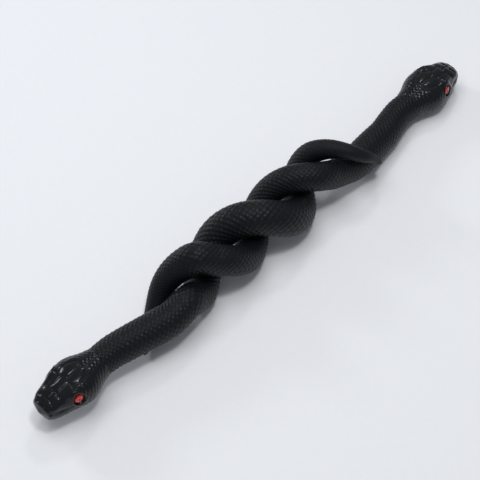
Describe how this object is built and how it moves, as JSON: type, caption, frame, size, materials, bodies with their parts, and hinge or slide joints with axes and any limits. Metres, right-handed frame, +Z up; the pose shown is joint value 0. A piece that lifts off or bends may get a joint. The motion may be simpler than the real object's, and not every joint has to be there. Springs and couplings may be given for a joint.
{
  "type": "twisty snake puzzle",
  "caption": "Two small black snakes wound round each other head to tail as a right-handed double helix; they screw apart along the twist axis.",
  "frame": {"origin": "on the floor under the middle of the object, with the twist axis 13.6 mm above it", "axes": "+X along the twist axis towards snake B's head, +Y across, +Z up"},
  "size_m": [0.24, 0.0286, 0.029],
  "materials": {
    "body_skin": "soft-touch satin black with moulded scales",
    "head_gloss": "glossy black with moulded crown plates",
    "eye_red": "polished red dome",
    "pupil_black": "polished black bead",
    "core_wire": "plain drawn wire",
    "neck_dowel": "turned nylon"
  },
  "bodies": {
    "snake_b": {"snake_b_body": "body_skin", "snake_b_core_wire": "core_wire", "snake_b_neck_dowel": "neck_dowel", "snake_b_head_shell": "head_gloss", "snake_b_lower_jaw": "head_gloss", "snake_b_left_eye": "eye_red", "snake_b_left_pupil": "pupil_black", "snake_b_right_eye": "eye_red", "snake_b_right_pupil": "pupil_black"},
    "snake_a_swivel": {"snake_a_neck_dowel": "neck_dowel"},
    "snake_a": {"snake_a_body": "body_skin", "snake_a_core_wire": "core_wire", "snake_a_head_shell": "head_gloss", "snake_a_lower_jaw": "head_gloss", "snake_a_left_eye": "eye_red", "snake_a_left_pupil": "pupil_black", "snake_a_right_eye": "eye_red", "snake_a_right_pupil": "pupil_black"}
  },
  "joints": [
    {"name": "pull_apart", "type": "slide", "parent": "snake_b", "child": "snake_a_swivel", "axis": [-1, 0, 0], "range_m": [0, 0.157]},
    {"name": "unscrew", "type": "hinge", "parent": "snake_a_swivel", "child": "snake_a", "pos_m": [0, 0.0003, 0.0136], "axis": [-1, 0, 0], "range_deg": [0, 990]}
  ],
  "couplings": [
    {"joint": "pull_apart", "follows": "unscrew", "m_per_rad": 0.0090718}
  ]
}
